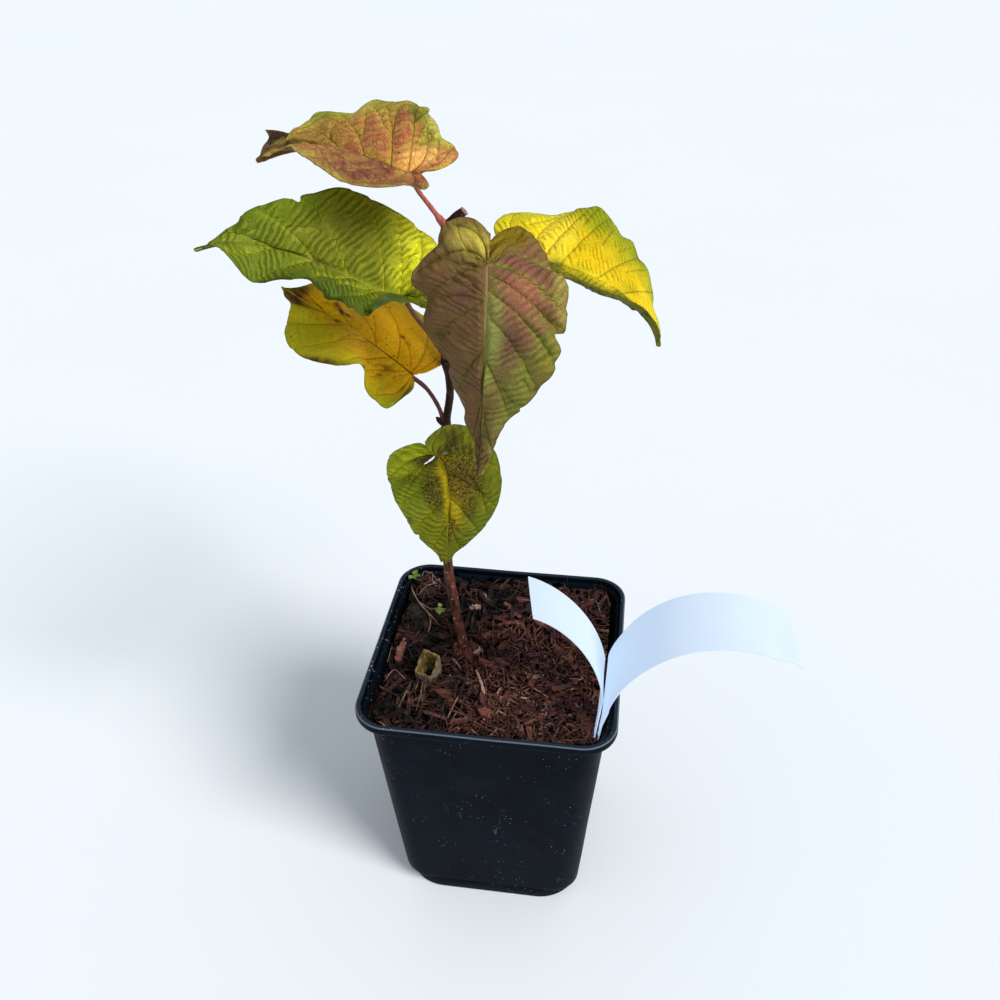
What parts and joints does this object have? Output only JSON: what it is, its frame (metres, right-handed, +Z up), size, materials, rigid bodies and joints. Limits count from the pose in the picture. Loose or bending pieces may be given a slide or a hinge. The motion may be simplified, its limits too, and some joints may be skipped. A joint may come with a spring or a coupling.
{
  "type": "potted climbing plant",
  "caption": "Young arctic kiwi vine with heart-shaped autumn leaves on a thin woody shoot, in a square black nursery pot with two blank bent plant labels.",
  "frame": {"origin": "middle of the pot's base, on the surface it stands on", "axes": "+Z up along the pot, -Y out of the pot's front, towards the viewer; +X to the viewer's right"},
  "size_m": [0.1732, 0.09, 0.2859],
  "materials": {
    "pot": "satin, dusty, near-black navy",
    "soil": "rough moist bark and fibre mix",
    "stem": "satin brown bark",
    "wood_stub": "rough dead wood",
    "leaf_top": "waxy leaf, veined and quilted",
    "leaf_left": "waxy leaf, veined and quilted",
    "leaf_yellow": "waxy leaf, veined and quilted",
    "leaf_front": "waxy leaf, veined and quilted",
    "leaf_small": "waxy leaf, veined and quilted",
    "leaf_right": "waxy leaf, veined and quilted",
    "label_left": "blank white satin",
    "label_right": "blank white satin"
  },
  "bodies": {
    "root": {"pot": "pot", "soil": "soil", "stem": "stem", "wood_stub": "wood_stub", "leaf_top": "leaf_top", "leaf_left": "leaf_left", "leaf_yellow": "leaf_yellow", "leaf_front": "leaf_front", "leaf_small": "leaf_small", "leaf_right": "leaf_right", "label_left": "label_left", "label_right": "label_right"}
  },
  "joints": []
}
